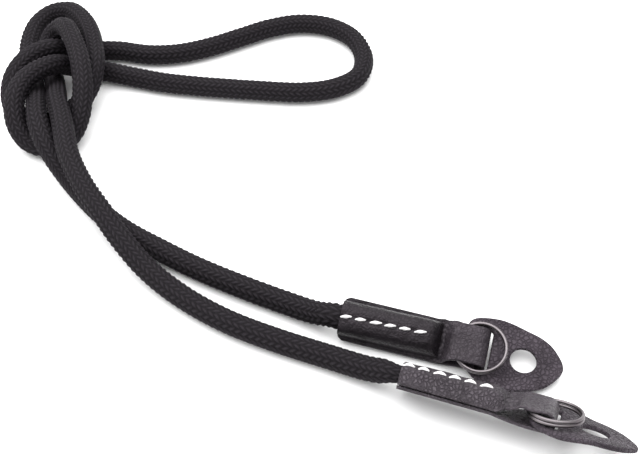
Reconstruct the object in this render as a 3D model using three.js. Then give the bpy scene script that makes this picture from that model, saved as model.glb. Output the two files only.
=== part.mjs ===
// A braided rope camera strap, folded in half and tied in an overhand knot on the bight.
// Each end of the rope sits in a folded leather cover that carries a split ring and a leaf-shaped flap.
// Millimetres, +Z up. The strap lies on the plane z = 0 and the origin is below its middle.
import * as THREE from "three";

// Rope
const ROPE_DIAMETER = 9.8;
const ROPE_SIDES = 10;
const ROPE_STEPS = 250;
const PRESS_LENGTH = 9; // the stretch before the cover over which the rope is pressed flatter
const STRAIGHT_BEFORE_COVER = 3.5;

// Leather cover, one folded strip
const COVER_LENGTH = 57; // from the mouth to the fold
const LOOP_STRETCH = 23; // from the rope's end to the fold: the crease, the ring's room and the fold itself
const ROPE_END_INSIDE = COVER_LENGTH - LOOP_STRETCH;
const COVER_LEATHER = 1.2;
const TUNNEL_STRIP_WIDTH = 17;
const LOOP_STRIP_WIDTH = 15.4;
const TUNNEL_HEIGHT = 7.4; // inside, over the rope
const TUNNEL_WIDTH = 11.2; // inside, across the rope
const LOOP_HEIGHT = 5.6; // inside, round the ring and the flap
const TUNNEL_ROUNDNESS = 3; // exponent of the arch: 2 is an ellipse, more is squarer
const CREASE_LEAN = 1.1; // how far the upper layer's far edge stays up beside the crease
const CLEARANCE = 0.3;

// Split ring
const RING_DIAMETER = 20.5;
const WIRE_DIAMETER = 1.3;
const COIL_GAP = 0.1;
const RING_SIDES = 6;
const RING_STEPS = 64;
const RING_TILT = 4; // degrees, the free side is lifted off the flap

// Flap
const FLAP_LENGTH = 38;
const FLAP_WIDTH = 28;
const FLAP_LEATHER = 1.8;
const FLAP_BEHIND_FOLD = 9.5; // how far the blunt end reaches back into the loop
const HOLE_DIAMETER = 10;
const HOLE_FROM_FOLD = 13.5;
const SLOT_WIDTH = 5;
const SLOT_PAST_FOLD = 0.9; // how far the slot stays open beyond the fold
const SLOT_SIDE_ROOM = 0.6;

// Brings the origin below the middle of the whole strap; the places below are given before this move.
const CENTRING = [-0.57, 0.69, 0.05];

// Where each end lies. Roll turns the far side up, and a row's place is its share of the cover's length.
// flapRoll is the roll of the flap's free part, flapDroop how far its tip hangs down, and ringInside how far
// the ring's centre is inside the fold. creaseLevel is how high the upper layer stays at the crease, as a
// share of the way from the lower layer to the crest.
const ENDS = {
  rear: {
    mouth: [29.3, -70.7, 9.6],
    heading: -14.5,
    rise: -2.1,
    roll: [
      { along: 0, degrees: 34 },
      { along: 0.6, degrees: 26 },
      { along: 0.8, degrees: 18 },
      { along: 1, degrees: 18 },
    ],
    flapRoll: 10,
    flapDroop: 0,
    ringInside: 3,
    creaseLevel: 0.15,
  },
  front: {
    mouth: [51.2, -98.2, 10.1],
    heading: -19.3,
    rise: 2.4,
    roll: [
      { along: 0, degrees: -53 },
      { along: 0.6, degrees: -48 },
      { along: 0.82, degrees: -32 },
      { along: 1, degrees: -32 },
    ],
    flapRoll: -39,
    flapDroop: 2.4,
    ringInside: 1.2,
    creaseLevel: 0.5,
  },
};

// The rope's centre line between the two covers: x, y, z of each chosen point.
const ROPE_ROUTE = [
  // rear strand, from its cover to the knot, passing below the front strand
  [19, -65.7, 6.4],
  [7, -59.5, 5],
  [-11, -51, 5],
  [-29, -41.5, 5],
  [-45, -31.5, 5],
  [-60, -21.3, 5],
  [-71.5, -11, 5],
  [-81, 0, 5],
  [-89, 10, 6],
  [-96, 18.5, 9.8],
  [-101.5, 26.5, 13.8],
  [-106, 37, 16.2],
  // up through the knot on the left
  [-109.3, 50, 14.6],
  [-113.2, 65, 8.5],
  [-118.8, 81.5, 5.2],
  [-123.7, 98, 5],
  // the outer turn over the top and down the right
  [-125, 111.5, 6],
  [-122.5, 121.5, 8],
  [-116, 127.5, 10.2],
  [-107, 126.5, 12.5],
  [-98.7, 117.5, 14.5],
  [-92.5, 104.5, 15.6],
  [-88.7, 91.5, 15.7],
  [-86.5, 80, 15.2],
  [-87.5, 69.5, 11],
  [-92, 60.5, 6.8],
  // below the two standing strands
  [-97.5, 52.5, 5],
  [-104, 48.3, 5],
  [-111, 48, 5],
  // up the left and over them
  [-117.5, 51, 5],
  [-123, 58, 5.5],
  [-125.5, 66, 8],
  [-124.5, 73.5, 12.3],
  [-120, 81.3, 15.6],
  [-114.5, 87.2, 16.3],
  [-109.5, 91.6, 15],
  [-104, 96.8, 10.3],
  [-98.5, 100.7, 5.9],
  // out of the knot, the upper leg of the bight
  [-90, 103, 5],
  [-79, 103, 5],
  [-64, 100, 5],
  [-49, 101, 5],
  [-34, 106.3, 5],
  [-19, 114.3, 5],
  [-4.5, 122, 5],
  [11, 126, 5],
  // the bight's round end
  [26.5, 123, 5],
  [38, 113, 5],
  [43, 96.5, 5],
  [39.5, 82, 5],
  [28, 73.5, 5],
  // the lower leg, back to the knot
  [13, 70.5, 5],
  [-10, 72, 5],
  [-24.5, 73.5, 5],
  [-39, 75.3, 5],
  [-54, 77.8, 5],
  [-69, 82, 5],
  [-82, 86, 5],
  [-89.5, 87.3, 5.2],
  // over the standing strands and down the left
  [-95, 86.5, 6.8],
  [-99.5, 83.5, 10.5],
  [-103, 79, 15],
  [-106.5, 73.5, 18.7],
  [-111, 67, 20.5],
  [-115.5, 59.5, 20.6],
  [-118, 51.5, 19],
  [-118, 44, 15],
  [-116, 38.3, 10.5],
  [-111.2, 33.8, 6.3],
  // below the standing strands
  [-104.2, 31.8, 5],
  [-97.5, 33.3, 5],
  // the inner turn, up the right and over the top
  [-92.3, 38, 6.8],
  [-89.3, 44.7, 10.5],
  [-88.3, 52, 15],
  [-88.7, 60, 19.3],
  [-90.7, 70, 22.2],
  [-94, 80.5, 22.8],
  [-98.2, 91, 22.3],
  [-102.4, 100.2, 20.8],
  [-107.2, 106.2, 16.8],
  [-112.2, 106.4, 11.8],
  [-114.2, 101.5, 7.3],
  [-112.8, 92.5, 5.1],
  // down through the knot, over the rear strand and on to the front cover
  [-109.2, 84, 5],
  [-106.2, 74.5, 5.8],
  [-103, 63.5, 10.3],
  [-99.7, 51.5, 16],
  [-94.8, 36.5, 18],
  [-91.5, 25, 18.6],
  [-88, 13.5, 18],
  [-83.4, 3.5, 17],
  [-77.5, -7, 16],
  [-70, -18, 14.8],
  [-60.5, -31, 11.6],
  [-48, -44.5, 7],
  [-33, -57, 5],
  [-15, -69, 5],
  [4, -78, 5],
  [23, -85.5, 5],
  [39, -92.8, 6.8],
];

// Levels inside a cover, measured up from the rope's axis
const STRIP_TOP = -TUNNEL_HEIGHT / 2;
const STRIP_UNDERSIDE = STRIP_TOP - COVER_LEATHER;
// outside of the upper layer where it lies on the lower one
const LAID_LEVEL = STRIP_TOP + CLEARANCE + COVER_LEATHER;
const CREST_LEVEL = TUNNEL_HEIGHT / 2 + COVER_LEATHER;
const LOOP_LEVEL = STRIP_TOP + LOOP_HEIGHT + COVER_LEATHER;
const FOLD_RADIUS = (LOOP_LEVEL - STRIP_UNDERSIDE) / 2;
const FOLD_CENTRE = COVER_LENGTH - FOLD_RADIUS;
const FLAP_UNDERSIDE = STRIP_TOP + CLEARANCE;
const RING_BOTTOM = FLAP_UNDERSIDE + FLAP_LEATHER + CLEARANCE;

const RING_MEAN_RADIUS = (RING_DIAMETER - WIRE_DIAMETER) / 2;
const RING_RISE = WIRE_DIAMETER + COIL_GAP;

const ROPE_MATERIAL = new THREE.MeshStandardMaterial({ color: 0x242326, roughness: 0.85, metalness: 0 });
const COVER_MATERIAL = new THREE.MeshStandardMaterial({ color: 0x343034, roughness: 0.5, metalness: 0 });
const FLAP_MATERIAL = new THREE.MeshStandardMaterial({ color: 0x3a363a, roughness: 0.6, metalness: 0 });
const RING_MATERIAL = new THREE.MeshStandardMaterial({ color: 0x6f696c, roughness: 0.3, metalness: 1 });

// Straight-line value of a table at one place; each row holds its place under `key`.
function between(rows, key, place, column) {
  const after = rows.findIndex((row) => row[key] >= place);
  if (after === 0) return rows[0][column];
  if (after < 0) return rows.at(-1)[column];
  const [a, b] = [rows[after - 1], rows[after]];
  return THREE.MathUtils.mapLinear(place, a[key], b[key], a[column], b[column]);
}

// A regular polygon with its corners on a circle, as the section of a rope or wire.
function roundSection(diameter, sides) {
  const corners = Array.from({ length: sides }, (_, i) => {
    const angle = (2 * Math.PI * i) / sides;
    return new THREE.Vector2(Math.cos(angle), Math.sin(angle)).multiplyScalar(diameter / 2);
  });
  return new THREE.Shape(corners);
}

function tube(path, diameter, sides, steps) {
  return new THREE.ExtrudeGeometry(roundSection(diameter, sides), { extrudePath: path, steps });
}

// A solid through sections with equal numbers of points, closed by a flat-cut triangulation at each end.
function loft(sections, flatten) {
  const count = sections[0].length;
  const faces = [];
  for (let s = 0; s + 1 < sections.length; s++) {
    for (let i = 0; i < count; i++) {
      const j = (i + 1) % count;
      const [a, b, c, d] = [s * count + i, s * count + j, (s + 1) * count + j, (s + 1) * count + i];
      faces.push(a, c, b, a, d, c);
    }
  }
  const lastStart = (sections.length - 1) * count;
  for (const [a, b, c] of THREE.ShapeUtils.triangulateShape(sections[0].map(flatten), [])) {
    faces.push(a, b, c, lastStart + c, lastStart + b, lastStart + a);
  }
  const geometry = new THREE.BufferGeometry().setFromPoints(sections.flat());
  geometry.setIndex(faces);
  geometry.computeVertexNormals();
  return geometry;
}

// Turns each point of a geometry about the x axis by an angle that depends on its x.
function turnAlong(geometry, angleAt) {
  const place = geometry.getAttribute("position");
  const point = new THREE.Vector3();
  for (let i = 0; i < place.count; i++) {
    point.fromBufferAttribute(place, i);
    point.applyMatrix4(new THREE.Matrix4().makeRotationX(angleAt(point.x)));
    place.setXYZ(i, point.x, point.y, point.z);
  }
  geometry.computeVertexNormals();
}

// The roll of an end, in radians, at a distance from its mouth.
function rollAt(end, distance) {
  return THREE.MathUtils.degToRad(between(end.roll, "along", distance / COVER_LENGTH, "degrees"));
}

function foldRoll(end) {
  return rollAt(end, COVER_LENGTH);
}

function ringCentre(end) {
  return COVER_LENGTH - end.ringInside;
}

// The frame of an end: x along the rope's axis from the cover's mouth, y across, z up.
function endFrame(end) {
  const group = new THREE.Group();
  group.position.set(...end.mouth);
  group.rotation.set(0, -THREE.MathUtils.degToRad(end.rise), THREE.MathUtils.degToRad(end.heading), "ZYX");
  group.updateMatrixWorld(true);
  return group;
}

function onAxis(end, distance) {
  return new THREE.Vector3(distance, 0, 0).applyMatrix4(endFrame(end).matrixWorld);
}

// Presses the rope flatter and wider where it enters a cover, turned with the cover's roll.
function pressEnd(geometry, end) {
  const frame = endFrame(end).matrixWorld;
  const toEnd = frame.clone().invert();
  const heightShare = (TUNNEL_HEIGHT - 2 * CLEARANCE) / ROPE_DIAMETER;
  const widthShare = (TUNNEL_WIDTH - 3.4 * CLEARANCE) / ROPE_DIAMETER;
  const place = geometry.getAttribute("position");
  const point = new THREE.Vector3();
  for (let i = 0; i < place.count; i++) {
    point.fromBufferAttribute(place, i).applyMatrix4(toEnd);
    const nearAxis = Math.hypot(point.y, point.z) < ROPE_DIAMETER;
    if (!nearAxis || point.x < -PRESS_LENGTH || point.x > COVER_LENGTH) continue;
    const pressed = THREE.MathUtils.smoothstep(point.x, -PRESS_LENGTH, 0);
    const turn = new THREE.Matrix4().makeRotationX(rollAt(end, point.x));
    point.applyMatrix4(turn.clone().invert());
    point.y *= THREE.MathUtils.lerp(1, widthShare, pressed);
    point.z *= THREE.MathUtils.lerp(1, heightShare, pressed);
    point.applyMatrix4(turn).applyMatrix4(frame);
    place.setXYZ(i, point.x, point.y, point.z);
  }
}

function ropeGeometry() {
  const insideEnds = [ROPE_END_INSIDE, ROPE_END_INSIDE / 2, ROPE_END_INSIDE / 8, -STRAIGHT_BEFORE_COVER];
  const points = [
    ...insideEnds.map((distance) => onAxis(ENDS.rear, distance)),
    ...ROPE_ROUTE.map((point) => new THREE.Vector3(...point)),
    ...insideEnds.reverse().map((distance) => onAxis(ENDS.front, distance)),
  ];
  const path = new THREE.CatmullRomCurve3(points);
  path.arcLengthDivisions = 4000;
  const geometry = tube(path, ROPE_DIAMETER, ROPE_SIDES, ROPE_STEPS);
  pressEnd(geometry, ENDS.rear);
  pressEnd(geometry, ENDS.front);
  return geometry;
}

// The upper layer's outside along the cover: its crest over the rope and its level beside it.
// Over the tunnel a row's place is its distance from the mouth, as a share of the rope's end;
// past the rope's end the layer drops to the lower one and rises again into the loop. Where it is pressed
// down it leans: its far edge stays higher by `lean` than its middle, and its near edge lies lower.
function upperLayerRows(end) {
  const crease = ROPE_END_INSIDE + 5.5;
  const loopStart = ringCentre(end) - RING_DIAMETER / 2 - CLEARANCE;
  const middle = (crease + loopStart) / 2;
  const creased = THREE.MathUtils.lerp(LAID_LEVEL, CREST_LEVEL, end.creaseLevel);
  const lowRise = THREE.MathUtils.lerp(creased, LOOP_LEVEL, 0.4);
  const highRise = THREE.MathUtils.lerp(creased, LOOP_LEVEL, 0.8);
  return [
    { place: 0, crest: CREST_LEVEL, beside: LAID_LEVEL },
    { place: ROPE_END_INSIDE * 0.25, crest: CREST_LEVEL, beside: LAID_LEVEL },
    { place: ROPE_END_INSIDE * 0.5, crest: CREST_LEVEL, beside: LAID_LEVEL },
    { place: ROPE_END_INSIDE * 0.75, crest: CREST_LEVEL, beside: LAID_LEVEL },
    { place: ROPE_END_INSIDE, crest: CREST_LEVEL, beside: LAID_LEVEL },
    {
      place: ROPE_END_INSIDE + 2,
      crest: THREE.MathUtils.lerp(LAID_LEVEL, CREST_LEVEL, 0.9),
      beside: LAID_LEVEL,
    },
    {
      place: ROPE_END_INSIDE + 3.6,
      crest: THREE.MathUtils.lerp(creased, CREST_LEVEL, 0.55),
      beside: THREE.MathUtils.lerp(LAID_LEVEL, creased, 0.5),
      lean: CREASE_LEAN / 2,
    },
    { place: crease - 0.7, crest: creased + 0.2, beside: creased, lean: CREASE_LEAN },
    { place: crease + 0.9, crest: creased, beside: creased, lean: CREASE_LEAN },
    { place: middle, crest: lowRise, beside: lowRise, lean: CREASE_LEAN / 2 },
    { place: (middle + loopStart) / 2, crest: highRise, beside: highRise },
    { place: loopStart, crest: LOOP_LEVEL, beside: LOOP_LEVEL },
    { place: (loopStart + FOLD_CENTRE) / 2, crest: LOOP_LEVEL, beside: LOOP_LEVEL },
    { place: FOLD_CENTRE, crest: LOOP_LEVEL, beside: LOOP_LEVEL },
  ];
}

// The arch across the tunnel: 1 over the rope's middle, 0 from the given half width outwards.
function arch(across, halfWidth) {
  const share = Math.min(Math.abs(across) / halfWidth, 1);
  return (1 - share ** TUNNEL_ROUNDNESS) ** (1 / TUNNEL_ROUNDNESS);
}

function foldArc(radius, fromDegrees, toDegrees, parts) {
  return Array.from({ length: parts - 1 }, (_, i) => {
    const angle = THREE.MathUtils.degToRad(THREE.MathUtils.lerp(fromDegrees, toDegrees, (i + 1) / parts));
    return [FOLD_CENTRE + radius * Math.cos(angle), STRIP_UNDERSIDE + FOLD_RADIUS + radius * Math.sin(angle)];
  });
}

// One folded strip as a loft across its width: each section is the strip's side view at one place across.
function coverGeometry(end) {
  const innerHalf = TUNNEL_WIDTH / 2;
  const outerHalf = innerHalf + COVER_LEATHER;
  const rows = upperLayerRows(end);
  const halfStrip = [
    { place: 0, half: TUNNEL_STRIP_WIDTH / 2 },
    { place: ROPE_END_INSIDE + 5, half: TUNNEL_STRIP_WIDTH / 2 },
    { place: COVER_LENGTH - 11, half: LOOP_STRIP_WIDTH / 2 },
    { place: COVER_LENGTH, half: LOOP_STRIP_WIDTH / 2 },
  ];
  const oneSide = [
    0.42 * innerHalf,
    0.75 * innerHalf,
    0.91 * innerHalf,
    innerHalf,
    innerHalf + 0.5 * COVER_LEATHER,
    innerHalf + 0.85 * COVER_LEATHER,
    outerHalf,
    Infinity, // the strip's edge
  ];
  const columns = [...oneSide.map((across) => -across).reverse(), 0, ...oneSide];
  const lowerPlaces = [0, 0.3, 0.6, 0.78, 0.9].map((share) => share * COVER_LENGTH);
  lowerPlaces.push(FOLD_CENTRE);

  const sections = columns.map((column) => {
    const acrossAt = (place) => {
      const half = between(halfStrip, "place", place, "half");
      return THREE.MathUtils.clamp(column, -half, half);
    };
    const upper = (leather, halfWidth) =>
      rows.map(({ place, crest, beside, lean = 0 }) => {
        const across = acrossAt(place);
        const arched = THREE.MathUtils.lerp(beside, crest, arch(across, halfWidth));
        return [place, arched + (lean * across) / (TUNNEL_STRIP_WIDTH / 2) - leather];
      });
    const outline = [
      ...lowerPlaces.map((place) => [place, STRIP_UNDERSIDE]),
      ...foldArc(FOLD_RADIUS, -90, 90, 6),
      ...upper(0, outerHalf).reverse(),
      ...upper(COVER_LEATHER, innerHalf),
      ...foldArc(FOLD_RADIUS - COVER_LEATHER, 90, -90, 6),
      ...lowerPlaces.map((place) => [place, STRIP_TOP]).reverse(),
    ];
    return outline.map(([place, level]) => new THREE.Vector3(place, acrossAt(place), level));
  });
  const geometry = loft(sections, (point) => new THREE.Vector2(point.x, point.z));
  turnAlong(geometry, (x) => rollAt(end, x));
  return geometry;
}

// The split ring's wire: nearly two turns side by side, with one step from the lower to the upper turn.
class SplitRingCurve extends THREE.Curve {
  getPoint(t, target = new THREE.Vector3()) {
    const degrees = t * 678;
    const angle = THREE.MathUtils.degToRad(degrees + 180);
    const height = RING_RISE * (THREE.MathUtils.smoothstep(degrees, 322, 356) - 0.5);
    return target.set(RING_MEAN_RADIUS * Math.cos(angle), RING_MEAN_RADIUS * Math.sin(angle), height);
  }
}

function ringGeometry() {
  return tube(new SplitRingCurve(), WIRE_DIAMETER, RING_SIDES, RING_STEPS);
}

// Half widths of the flap on its far and near sides, as shares of its width,
// along its length from the blunt end.
const FLAP_OUTLINE = [
  { along: 0, far: 0.28, near: 0.16 },
  { along: 0.025, far: 0.39, near: 0.23 },
  { along: 0.08, far: 0.45, near: 0.31 },
  { along: 0.15, far: 0.475, near: 0.39 },
  { along: 0.22, far: 0.49, near: 0.44 },
  { along: 0.35, far: 0.5, near: 0.48 },
  { along: 0.5, far: 0.487, near: 0.487 },
  { along: 0.62, far: 0.45, near: 0.45 },
  { along: 0.74, far: 0.4, near: 0.4 },
  { along: 0.85, far: 0.315, near: 0.315 },
  { along: 0.93, far: 0.2, near: 0.2 },
  { along: 0.985, far: 0.085, near: 0.085 },
];

function flapGeometry(end) {
  const start = COVER_LENGTH - FLAP_BEHIND_FOLD;
  const edgePoint = (along, half) => new THREE.Vector2(start + along * FLAP_LENGTH, half * FLAP_WIDTH);
  const farSide = FLAP_OUTLINE.map(({ along, far }) => edgePoint(along, far));
  const nearSide = FLAP_OUTLINE.map(({ along, near }) => edgePoint(along, -near));
  const edge = new THREE.SplineCurve([...farSide, edgePoint(1, 0), ...nearSide.reverse()]);
  const shape = new THREE.Shape(edge.getPoints(48).reverse());

  const hole = new THREE.Path();
  hole.absarc(COVER_LENGTH + HOLE_FROM_FOLD, 0, HOLE_DIAMETER / 2, 0, 2 * Math.PI, false);
  const slotEnd = COVER_LENGTH + SLOT_PAST_FOLD;
  const slotHalf = LOOP_STRIP_WIDTH / 2 + SLOT_SIDE_ROOM;
  const round = SLOT_WIDTH / 4;
  const slot = new THREE.Path();
  slot.absarc(slotEnd - round, slotHalf - round, round, 0, Math.PI / 2, false);
  slot.absarc(slotEnd - SLOT_WIDTH + round, slotHalf - round, round, Math.PI / 2, Math.PI, false);
  slot.absarc(slotEnd - SLOT_WIDTH + round, round - slotHalf, round, Math.PI, 1.5 * Math.PI, false);
  slot.absarc(slotEnd - round, round - slotHalf, round, 1.5 * Math.PI, 2 * Math.PI, false);
  shape.holes.push(new THREE.Path(hole.getPoints(24)), new THREE.Path(slot.getPoints(3)));
  const settings = { depth: FLAP_LEATHER, bevelEnabled: false, curveSegments: 1 };
  const geometry = new THREE.ExtrudeGeometry(shape, settings);
  geometry.translate(0, 0, FLAP_UNDERSIDE);

  // beyond the fold the flap's tip hangs down, and the flap twists away from the loop's roll to its own
  const place = geometry.getAttribute("position");
  for (let i = 0; i < place.count; i++) {
    const share = Math.max(0, (place.getX(i) - slotEnd) / (start + FLAP_LENGTH - slotEnd));
    place.setZ(i, place.getZ(i) - end.flapDroop * share ** 2);
  }
  const twist = THREE.MathUtils.degToRad(end.flapRoll) - foldRoll(end);
  turnAlong(geometry, (x) => twist * THREE.MathUtils.smoothstep(x, slotEnd, COVER_LENGTH + HOLE_FROM_FOLD));
  return geometry;
}

function mesh(name, geometry, material) {
  const made = new THREE.Mesh(geometry, material);
  made.name = name;
  return made;
}

// One leather end: the twisted cover, and the ring and flap that its fold holds.
function leatherEnd(name) {
  const end = ENDS[name];
  const group = endFrame(end);
  group.add(mesh(`${name}_cover`, coverGeometry(end), COVER_MATERIAL));

  const held = new THREE.Group();
  held.rotation.x = foldRoll(end);
  const ring = mesh(`${name}_ring`, ringGeometry(), RING_MATERIAL);
  const tilt = THREE.MathUtils.degToRad(RING_TILT);
  ring.rotation.y = -tilt;
  ring.position.x = ringCentre(end);
  ring.position.z = RING_BOTTOM + (RING_RISE + WIRE_DIAMETER) / 2 + RING_MEAN_RADIUS * Math.sin(tilt);
  const flap = mesh(`${name}_flap`, flapGeometry(end), FLAP_MATERIAL);
  held.add(ring, flap);
  group.add(held);
  return group;
}

const strap = new THREE.Group();
strap.position.set(...CENTRING);
strap.add(mesh("rope", ropeGeometry(), ROPE_MATERIAL));
strap.add(leatherEnd("rear"), leatherEnd("front"));

export default strap;
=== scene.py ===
# A camera strap of braided rope, folded in half and tied in an overhand knot, on a pale floor.
# Sizes and places are millimetres, as in the part's source; they become metres when a mesh is made.
# Only the camera, the lights and the floor are placed in metres.
import math

import bmesh
import bpy
import numpy as np
from mathutils import Matrix, Vector, geometry, noise


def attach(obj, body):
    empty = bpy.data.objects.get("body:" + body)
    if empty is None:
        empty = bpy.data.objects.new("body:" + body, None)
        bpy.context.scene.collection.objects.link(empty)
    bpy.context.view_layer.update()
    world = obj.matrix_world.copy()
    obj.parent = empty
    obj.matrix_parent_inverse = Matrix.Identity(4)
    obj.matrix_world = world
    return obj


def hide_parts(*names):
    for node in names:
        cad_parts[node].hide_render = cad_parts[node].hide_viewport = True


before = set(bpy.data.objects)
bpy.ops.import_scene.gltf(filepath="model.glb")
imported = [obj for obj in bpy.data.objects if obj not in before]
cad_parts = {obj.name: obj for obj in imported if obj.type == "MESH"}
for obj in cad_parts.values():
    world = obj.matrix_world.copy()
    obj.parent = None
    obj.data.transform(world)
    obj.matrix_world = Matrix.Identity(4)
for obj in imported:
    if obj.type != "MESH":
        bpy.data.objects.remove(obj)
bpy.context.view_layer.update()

MM = 0.001

# Rope. The press length is the stretch before a cover over which the rope gets flatter.
ROPE_RADIUS = 4.9
PRESS_LENGTH = 9.0
STRAIGHT_BEFORE_COVER = 3.5

# Braid. A float is one yarn's run over the others. Columns of floats stand side by side round the rope,
# and over the settle length at each end the zigzag of the rings dies away.
BRAID_COLUMNS = 14
BRAID_PITCH = 2.8
BRAID_DEPTH = 0.75
SETTLE_LENGTH = 8.0
RINGS_PER_FLOAT = 4
POINTS_PER_COLUMN = 3
LINE_STEP = 0.25

# Leather covers
COVER_LENGTH = 57.0
LOOP_STRETCH = 23.0
COVER_LEATHER = 1.2
LOWER_LAYER_POINTS = 60
UPPER_LAYER_POINTS = 130
FOLD_POINTS = 18
ROPE_END = COVER_LENGTH - LOOP_STRETCH
ROPE_LEFT_OFF = 6.0
TUNNEL_STRIP_WIDTH = 17.0
LOOP_STRIP_WIDTH = 15.4
TUNNEL_HEIGHT = 7.4
TUNNEL_WIDTH = 11.2
LOOP_HEIGHT = 5.6
TUNNEL_ROUNDNESS = 3.0
CREASE_LEAN = 1.1
CORNER_ROUNDING = 1.6
EDGE_ROUNDING = COVER_LEATHER * 0.42
WAVE_HEIGHT = 0.34
PUCKER_HEIGHT = 0.6
PUCKER_SPREAD = 14.0
CLEARANCE = 0.3

# Rings
RING_DIAMETER = 20.5
WIRE_DIAMETER = 1.3
COIL_GAP = 0.1
RING_TILT = 4.0
RING_TURN = 678.0
RING_CROSSING = (322.0, 356.0)
RING_STEPS = 260
RING_SIDES = 12
TIP_STEPS = 3
TIP_THICKNESS = 0.55

# Flaps
FLAP_LENGTH = 38.0
FLAP_WIDTH = 28.0
FLAP_LEATHER = 1.8
FLAP_BEHIND_FOLD = 9.5
HOLE_DIAMETER = 10.0
HOLE_FROM_FOLD = 13.5
SLOT_WIDTH = 5.0
SLOT_PAST_FOLD = 0.9
SLOT_SIDE_ROOM = 0.6
FLAP_ROUNDING = FLAP_LEATHER * 0.32
FACE_GRID = 0.8

# Stitches along each cover, on its crest or beside it
STITCHES = 6
FIRST_STITCH = 0.2
STITCH_PITCH = 5.7
STITCH_LENGTH = 4.2
THREAD_RADIUS = 0.64
THREAD_STEPS = 22
THREAD_SIDES = 14
THREAD_SUNK = 0.5
THREAD_RISE = 0.66
PLY_TURNS = 1.6
PLY_DEPTH = 0.1
DENT_DEPTH = 0.42
DENT_SPREAD = 0.9

# Brings the origin below the middle of the whole strap; the places below are given before this move.
CENTRING = Vector((-0.57, 0.69, 0.05))

# Where each end lies, in degrees and millimetres. Roll turns the far side up, and its rows hold the place as
# a share of the cover's length. The flap's roll is that of its free part, and its droop is how far the tip
# hangs down. Ring inside is the distance from the fold back to the ring's middle. The crease level is how
# high the upper layer stays there, as a share of the way from the lower layer to the crest. The stitch side
# is the stitches' place across the cover.
ENDS = {
    "rear": {
        "mouth": (29.3, -70.7, 9.6),
        "heading": -14.5,
        "rise": -2.1,
        "roll": [(0.0, 34.0), (0.6, 26.0), (0.8, 18.0), (1.0, 18.0)],
        "flap_roll": 10.0,
        "flap_droop": 0.0,
        "ring_inside": 3.0,
        "crease_level": 0.15,
        "stitch_side": 0.2,
    },
    "front": {
        "mouth": (51.2, -98.2, 10.1),
        "heading": -19.3,
        "rise": 2.4,
        "roll": [(0.0, -53.0), (0.6, -48.0), (0.82, -32.0), (1.0, -32.0)],
        "flap_roll": -39.0,
        "flap_droop": 2.4,
        "ring_inside": 1.2,
        "crease_level": 0.5,
        "stitch_side": -4.3,
    },
}

# The rope's centre line between the two covers, before the centring move.
ROPE_ROUTE = [
    # rear strand, from its cover to the knot
    (19, -65.7, 6.4), (7, -59.5, 5), (-11, -51, 5), (-29, -41.5, 5), (-45, -31.5, 5), (-60, -21.3, 5),
    (-71.5, -11, 5), (-81, 0, 5), (-89, 10, 6), (-96, 18.5, 9.8), (-101.5, 26.5, 13.8), (-106, 37, 16.2),
    # up through the knot on the left
    (-109.3, 50, 14.6), (-113.2, 65, 8.5), (-118.8, 81.5, 5.2), (-123.7, 98, 5),
    # the outer turn over the top and down the right
    (-125, 111.5, 6), (-122.5, 121.5, 8), (-116, 127.5, 10.2), (-107, 126.5, 12.5), (-98.7, 117.5, 14.5),
    (-92.5, 104.5, 15.6), (-88.7, 91.5, 15.7), (-86.5, 80, 15.2), (-87.5, 69.5, 11), (-92, 60.5, 6.8),
    # below the two standing strands
    (-97.5, 52.5, 5), (-104, 48.3, 5), (-111, 48, 5),
    # up the left and over them
    (-117.5, 51, 5), (-123, 58, 5.5), (-125.5, 66, 8), (-124.5, 73.5, 12.3), (-120, 81.3, 15.6),
    (-114.5, 87.2, 16.3), (-109.5, 91.6, 15), (-104, 96.8, 10.3), (-98.5, 100.7, 5.9),
    # out of the knot, the upper leg of the bight
    (-90, 103, 5), (-79, 103, 5), (-64, 100, 5), (-49, 101, 5), (-34, 106.3, 5), (-19, 114.3, 5),
    (-4.5, 122, 5), (11, 126, 5),
    # the bight's round end
    (26.5, 123, 5), (38, 113, 5), (43, 96.5, 5), (39.5, 82, 5), (28, 73.5, 5),
    # the lower leg, back to the knot
    (13, 70.5, 5), (-10, 72, 5), (-24.5, 73.5, 5), (-39, 75.3, 5), (-54, 77.8, 5), (-69, 82, 5),
    (-82, 86, 5), (-89.5, 87.3, 5.2),
    # over the standing strands and down the left
    (-95, 86.5, 6.8), (-99.5, 83.5, 10.5), (-103, 79, 15), (-106.5, 73.5, 18.7), (-111, 67, 20.5),
    (-115.5, 59.5, 20.6), (-118, 51.5, 19), (-118, 44, 15), (-116, 38.3, 10.5), (-111.2, 33.8, 6.3),
    # below the standing strands
    (-104.2, 31.8, 5), (-97.5, 33.3, 5),
    # the inner turn, up the right and over the top
    (-92.3, 38, 6.8), (-89.3, 44.7, 10.5), (-88.3, 52, 15), (-88.7, 60, 19.3), (-90.7, 70, 22.2),
    (-94, 80.5, 22.8), (-98.2, 91, 22.3), (-102.4, 100.2, 20.8), (-107.2, 106.2, 16.8),
    (-112.2, 106.4, 11.8), (-114.2, 101.5, 7.3), (-112.8, 92.5, 5.1),
    # down through the knot, over the rear strand and on to the front cover
    (-109.2, 84, 5), (-106.2, 74.5, 5.8), (-103, 63.5, 10.3), (-99.7, 51.5, 16), (-94.8, 36.5, 18),
    (-91.5, 25, 18.6), (-88, 13.5, 18), (-83.4, 3.5, 17), (-77.5, -7, 16), (-70, -18, 14.8),
    (-60.5, -31, 11.6), (-48, -44.5, 7), (-33, -57, 5), (-15, -69, 5), (4, -78, 5), (23, -85.5, 5),
    (39, -92.8, 6.8),
]

# The camera of the photograph
CAMERA_PLACE = Vector((21.0, -323.0, 325.7)) + CENTRING
CAMERA_DOWN = 46.5
FOCAL_PIXELS = 1050.0
FRAME_WIDTH = 639.0

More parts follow.
